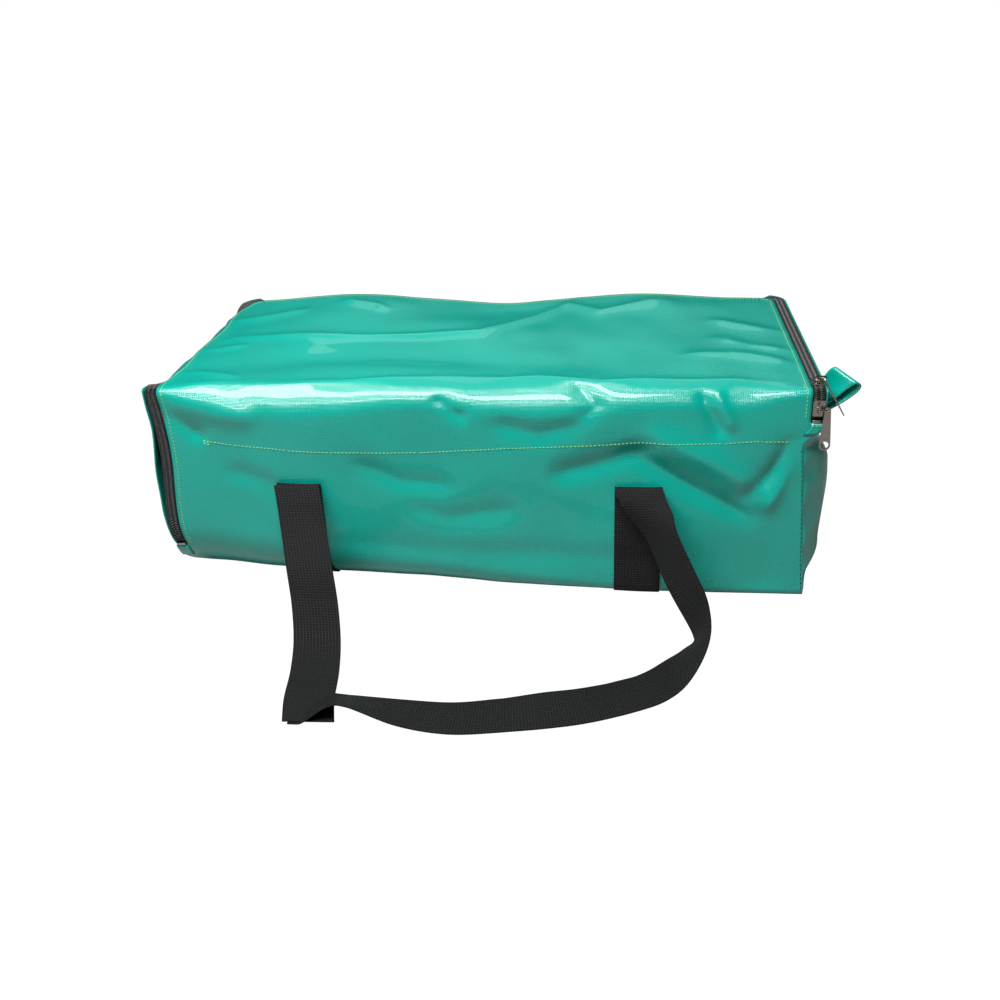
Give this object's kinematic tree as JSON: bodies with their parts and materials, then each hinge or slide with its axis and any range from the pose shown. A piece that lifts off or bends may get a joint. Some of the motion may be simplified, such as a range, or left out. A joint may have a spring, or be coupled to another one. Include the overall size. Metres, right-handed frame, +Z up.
{
  "type": "zipped carry bag",
  "caption": "Rectangular carry bag in coated tarpaulin with a front-hinged zip lid, webbing handles, slider pull tabs, a grab loop and a D-ring.",
  "frame": {"origin": "centre of the base panel's footprint, on its underside", "axes": "+X along the bag to the end with the zip sliders, +Y from the stitched front to the back, +Z up"},
  "size_m": [0.7368, 0.7386, 0.249],
  "materials": {
    "tarpaulin": "glossy teal-green PVC coating over a fine woven scrim",
    "tarpaulin_back": "satin reverse side of the same coated fabric",
    "binding_tape": "black woven seam binding",
    "zip_tape": "black woven polyester zip tape",
    "zip_coil": "black nylon coil",
    "nickel_casting": "warm grey nickel-plated zinc casting",
    "nickel_wire": "nickel-plated steel wire",
    "webbing": "black polypropylene webbing with close cross ribs"
  },
  "bodies": {
    "root": {"base_panel": "tarpaulin", "front_panel": "tarpaulin", "back_panel": "tarpaulin", "left_end_panel": "tarpaulin", "right_end_panel": "tarpaulin", "front_inner_facing": "tarpaulin_back", "left_zip_facing": "tarpaulin", "right_zip_facing": "tarpaulin", "base_seam_binding": "binding_tape", "front_right_seam_binding": "binding_tape", "back_left_seam_binding": "binding_tape", "back_right_seam_binding": "binding_tape", "body_zip_tape": "zip_tape", "body_zip_coil": "zip_coil", "front_left_zip_tape": "zip_tape", "front_left_zip_coil": "zip_coil", "front_right_zip_tape": "zip_tape", "front_right_zip_coil": "zip_coil", "left_zip_stop": "nickel_casting", "right_zip_stop": "nickel_casting", "grab_loop": "tarpaulin", "d_ring_chape": "tarpaulin", "front_left_band": "webbing", "front_right_band": "webbing", "rear_left_band": "webbing", "rear_right_band": "webbing"},
    "lid": {"lid_panel": "tarpaulin", "lid_zip_tape": "zip_tape", "lid_zip_coil": "zip_coil"},
    "front_slider": {"front_slider": "nickel_casting"},
    "front_link": {"front_pull_link": "nickel_casting"},
    "front_tab": {"front_pull_tab": "nickel_casting"},
    "rear_slider": {"rear_slider": "nickel_casting"},
    "rear_link": {"rear_pull_link": "nickel_casting"},
    "rear_tab": {"rear_pull_tab": "nickel_casting"},
    "d_ring": {"d_ring": "nickel_wire"},
    "front_handle": {"front_handle": "webbing"},
    "rear_handle": {"rear_handle": "webbing"}
  },
  "joints": [
    {"name": "lid_hinge", "type": "hinge", "parent": "root", "child": "lid", "pos_m": [0, -0.158, 0.24], "axis": [1, 0, 0], "range_deg": [0, 178], "deforming": ["lid_zip_tape", "lid_zip_coil"]},
    {"name": "front_slider_slide", "type": "slide", "parent": "root", "child": "front_slider", "axis": [0, 0, -1], "range_m": [0, 0.004]},
    {"name": "front_link_swing", "type": "hinge", "parent": "front_slider", "child": "front_link", "pos_m": [0.342, -0.17615, 0.2215], "axis": [0, 0, -1], "range_deg": [0, 175]},
    {"name": "front_tab_swing", "type": "hinge", "parent": "front_link", "child": "front_tab", "pos_m": [0.35, -0.17615, 0.2215], "axis": [0, -1, 0], "range_deg": [-12, 75]},
    {"name": "rear_slider_slide", "type": "slide", "parent": "root", "child": "rear_slider", "axis": [0, 1, 0], "range_m": [0, 0.286], "deforming": ["grab_loop"]},
    {"name": "rear_link_swing", "type": "hinge", "parent": "rear_slider", "child": "rear_link", "pos_m": [0.342, -0.1525, 0.24615], "axis": [0, -1, 0], "range_deg": [0, 175]},
    {"name": "rear_tab_swing", "type": "hinge", "parent": "rear_link", "child": "rear_tab", "pos_m": [0.349, -0.1525, 0.24442], "axis": [0.866, 0, 0.5], "range_deg": [-45, 45]},
    {"name": "d_ring_swing", "type": "hinge", "parent": "root", "child": "d_ring", "pos_m": [0.3532, -0.12825, 0.199], "axis": [0, -1, 0], "range_deg": [-5, 95]},
    {"name": "front_handle_swing", "type": "hinge", "parent": "root", "child": "front_handle", "pos_m": [0, -0.1734, 0.131], "axis": [1, 0, 0], "range_deg": [-100, 0]},
    {"name": "rear_handle_swing", "type": "hinge", "parent": "root", "child": "rear_handle", "pos_m": [0, 0.1734, 0.131], "axis": [1, 0, 0], "range_deg": [0, 100]}
  ]
}
